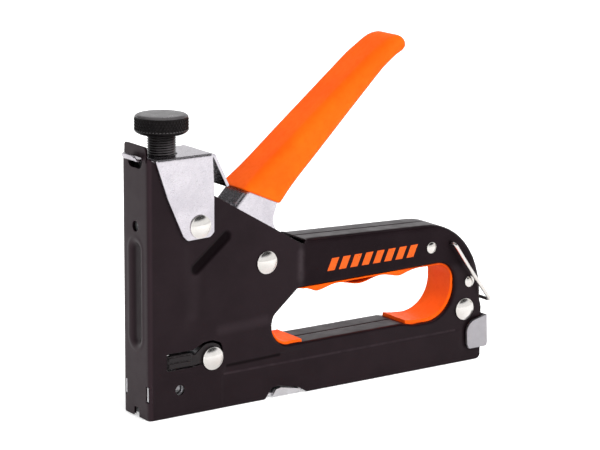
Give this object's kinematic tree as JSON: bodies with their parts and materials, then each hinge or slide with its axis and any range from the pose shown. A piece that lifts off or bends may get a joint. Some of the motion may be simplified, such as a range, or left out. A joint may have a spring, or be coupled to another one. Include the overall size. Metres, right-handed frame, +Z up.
{
  "type": "hand staple gun",
  "caption": "Squeeze-lever staple gun with a folded steel body, spring tension knob, sleeved lever, lined finger opening, rear-loading magazine and wire bail.",
  "frame": {"origin": "middle of the overall length and width, on the plane that the base rests on", "axes": "+X from the nose to the tail, +Y across to the tool's left when it points at the work, +Z up from the base to the knob"},
  "size_m": [0.1798, 0.027, 0.1491],
  "materials": {
    "body_paint": "black-brown semi-gloss paint on sheet steel",
    "zinc": "bright zinc-plated sheet steel",
    "nickel": "nickel-plated, bright",
    "spring_steel": "oiled hardened steel",
    "rubber": "black rubber",
    "orange_grip": "matt orange soft plastic",
    "black_oxide": "black oxide steel, satin"
  },
  "bodies": {
    "frame": {"housing": "body_paint", "top_bracket": "zinc", "adjuster_nut": "zinc", "bracket_rivet": "nickel", "lever_pivot_rivet": "nickel", "nose_rivet": "nickel", "rear_rivet": "nickel", "grip_rivets": "nickel", "rivet_spacers": "zinc", "lever_pivot_bush": "zinc", "lever_return_spring": "spring_steel", "nose_guide": "zinc", "magazine_liner": "zinc", "striker_bumper": "rubber", "finger_grip_insert": "orange_grip"},
    "lever": {"squeeze_lever": "zinc", "lever_sleeve": "orange_grip", "claw_pin": "spring_steel"},
    "claw": {"lifting_claw": "spring_steel"},
    "plunger": {"plunger_shoe": "spring_steel", "striker_blade": "spring_steel"},
    "spring_seat": {"upper_spring_seat": "zinc", "main_spring": "spring_steel"},
    "knob": {"tension_knob": "black_oxide"},
    "nail_guide": {"nail_guide_lever": "black_oxide"},
    "magazine": {"rear_cap": "zinc", "guide_rod": "spring_steel", "staple_core": "zinc", "pusher_spring": "spring_steel"},
    "pusher": {"staple_pusher": "zinc"},
    "bail": {"wire_bail": "nickel"}
  },
  "joints": [
    {"name": "lever_squeeze", "type": "hinge", "parent": "frame", "child": "lever", "pos_m": [-0.02889, 0, 0.0594], "axis": [0, 1, 0], "range_deg": [0, 44], "stiffness_Nm_per_rad": 0.25, "springref_deg": -34.38, "deforming": ["lever_return_spring"]},
    {"name": "claw_level", "type": "hinge", "parent": "lever", "child": "claw", "pos_m": [-0.04929, 0, 0.0512], "axis": [0, 1, 0], "range_deg": [-46, 0.5]},
    {"name": "plunger_lift", "type": "slide", "parent": "frame", "child": "plunger", "axis": [0, 0, 1], "range_m": [0, 0.0168], "deforming": ["main_spring"]},
    {"name": "knob_turn", "type": "hinge", "parent": "spring_seat", "child": "knob", "pos_m": [-0.07379, 0, 0.12], "axis": [0, 0, 1], "range_deg": [-1445, 725]},
    {"name": "tension_travel", "type": "slide", "parent": "frame", "child": "spring_seat", "axis": [0, 0, 1], "range_m": [-0.004, 0.002], "deforming": ["main_spring"]},
    {"name": "nail_guide_tilt", "type": "hinge", "parent": "frame", "child": "nail_guide", "pos_m": [-0.05589, 0, 0.0223], "axis": [0, 1, 0], "range_deg": [0, 2.6]},
    {"name": "magazine_pull", "type": "slide", "parent": "frame", "child": "magazine", "axis": [1, 0, 0], "range_m": [0, 0.15]},
    {"name": "pusher_slide", "type": "slide", "parent": "magazine", "child": "pusher", "axis": [1, 0, 0], "range_m": [0, 0.085], "deforming": ["pusher_spring"]},
    {"name": "bail_swing", "type": "hinge", "parent": "frame", "child": "bail", "pos_m": [0.06861, 0, 0.0551], "axis": [0, 1, 0], "range_deg": [-125, 0]}
  ],
  "couplings": [
    {"joint": "claw_level", "follows": "lever_squeeze", "ratio": -1},
    {"joint": "plunger_lift", "follows": "lever_squeeze", "m_per_rad": 0.021486},
    {"joint": "knob_turn", "follows": "tension_travel", "rad_per_m": 6283.2}
  ]
}
